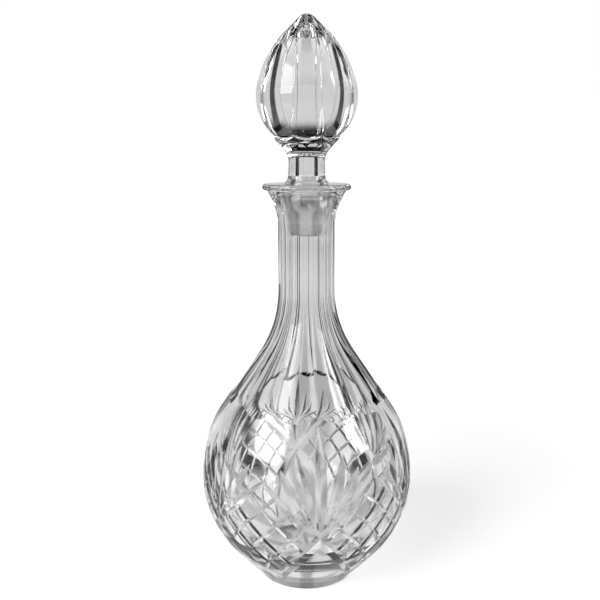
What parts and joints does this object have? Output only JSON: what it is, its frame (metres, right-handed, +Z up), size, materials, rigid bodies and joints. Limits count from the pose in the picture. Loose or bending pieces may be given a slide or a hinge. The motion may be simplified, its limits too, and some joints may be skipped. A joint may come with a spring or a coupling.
{
  "type": "wine decanter",
  "caption": "Cut-glass wine decanter: round bowl with wheel-cut fans and hatched panels, fluted neck, flared lip and a fluted glass stopper that lifts straight out.",
  "frame": {"origin": "centre of the foot, on the surface it stands on", "axes": "+Z up along the axis of the bottle and stopper, -Y through the middle of one cut fan"},
  "size_m": [0.124, 0.124, 0.32],
  "materials": {
    "cut_crystal": "clear colourless crystal, polished wheel cuts",
    "stopper_crystal": "clear colourless crystal, the plug fine ground"
  },
  "bodies": {
    "bottle": {"bottle": "cut_crystal"},
    "stopper": {"stopper": "stopper_crystal"}
  },
  "joints": [
    {"name": "stopper_lift", "type": "slide", "parent": "bottle", "child": "stopper", "axis": [0, 0, 1], "range_m": [0, 0.08]}
  ]
}
